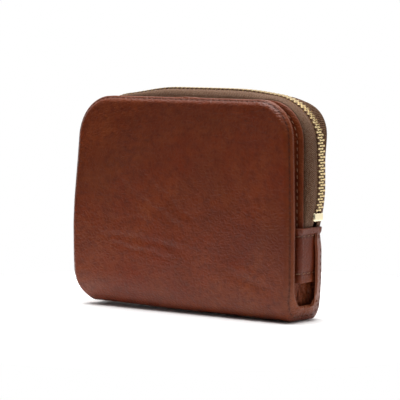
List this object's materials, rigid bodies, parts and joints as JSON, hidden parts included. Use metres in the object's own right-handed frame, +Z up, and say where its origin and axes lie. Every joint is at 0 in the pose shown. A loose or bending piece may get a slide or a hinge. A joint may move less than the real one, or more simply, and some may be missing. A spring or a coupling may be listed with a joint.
{
  "type": "folding zip wallet",
  "caption": "Compact bifold leather wallet standing on its fold, with card slots in the front leaf and a zipped coin compartment on the back leaf.",
  "frame": {"origin": "on the flat strip under the fold, at the middle of its length: where the wallet stands", "axes": "+X along the fold, -Y out of the front cover, +Z up from the fold to the zip"},
  "size_m": [0.1203, 0.0254, 0.0913],
  "materials": {
    "cover_leather": "semi-gloss tan-brown leather",
    "inner_leather": "semi-gloss tan-brown leather",
    "lining": "thin matt lining leather",
    "padding": "hidden non-woven interlining",
    "tape": "herringbone zip tape, olive brown",
    "brass": "polished brass",
    "thread": "waxed sewing thread"
  },
  "bodies": {
    "back_leaf": {"back_cover": "cover_leather", "back_fold_lining": "lining", "back_padding": "padding", "back_lining": "lining", "back_cover_thread": "thread", "coin_floor": "lining", "gusset_tab_left": "inner_leather", "gusset_tab_right": "inner_leather", "zip_tape_back": "tape", "zip_teeth_back": "brass", "zip_bottom_stop": "brass", "zip_top_stop_back": "brass"},
    "coin_front": {"coin_panel": "inner_leather", "coin_panel_lining": "lining", "coin_panel_thread": "thread", "gusset_band": "inner_leather", "zip_tape_front": "tape", "zip_teeth_front": "brass", "zip_top_stop_front": "brass"},
    "front_leaf": {"front_cover": "cover_leather", "front_fold_lining": "lining", "front_padding": "padding", "front_lining": "lining", "front_cover_thread": "thread", "card_pocket_1": "inner_leather", "card_pocket_2": "inner_leather", "card_pocket_3": "inner_leather"},
    "slider": {"slider_body": "brass", "slider_bail": "brass"},
    "puller": {"puller": "brass"}
  },
  "joints": [
    {"name": "coin_open", "type": "hinge", "parent": "back_leaf", "child": "coin_front", "pos_m": [0, -0.001, 0], "axis": [1, 0, 0], "range_deg": [0, 18], "deforming": ["zip_teeth_front", "zip_teeth_back"]},
    {"name": "leaf_open", "type": "hinge", "parent": "coin_front", "child": "front_leaf", "pos_m": [0, -0.001, 0], "axis": [1, 0, 0], "range_deg": [0, 160]},
    {"name": "zip_slide", "type": "slide", "parent": "back_leaf", "child": "slider", "axis": [0, 0, 1], "range_m": [0, 0.018]},
    {"name": "puller_swing", "type": "hinge", "parent": "slider", "child": "puller", "pos_m": [-0.06025, 0.005, 0.0486], "axis": [0, 1, 0], "range_deg": [0, 160]}
  ]
}
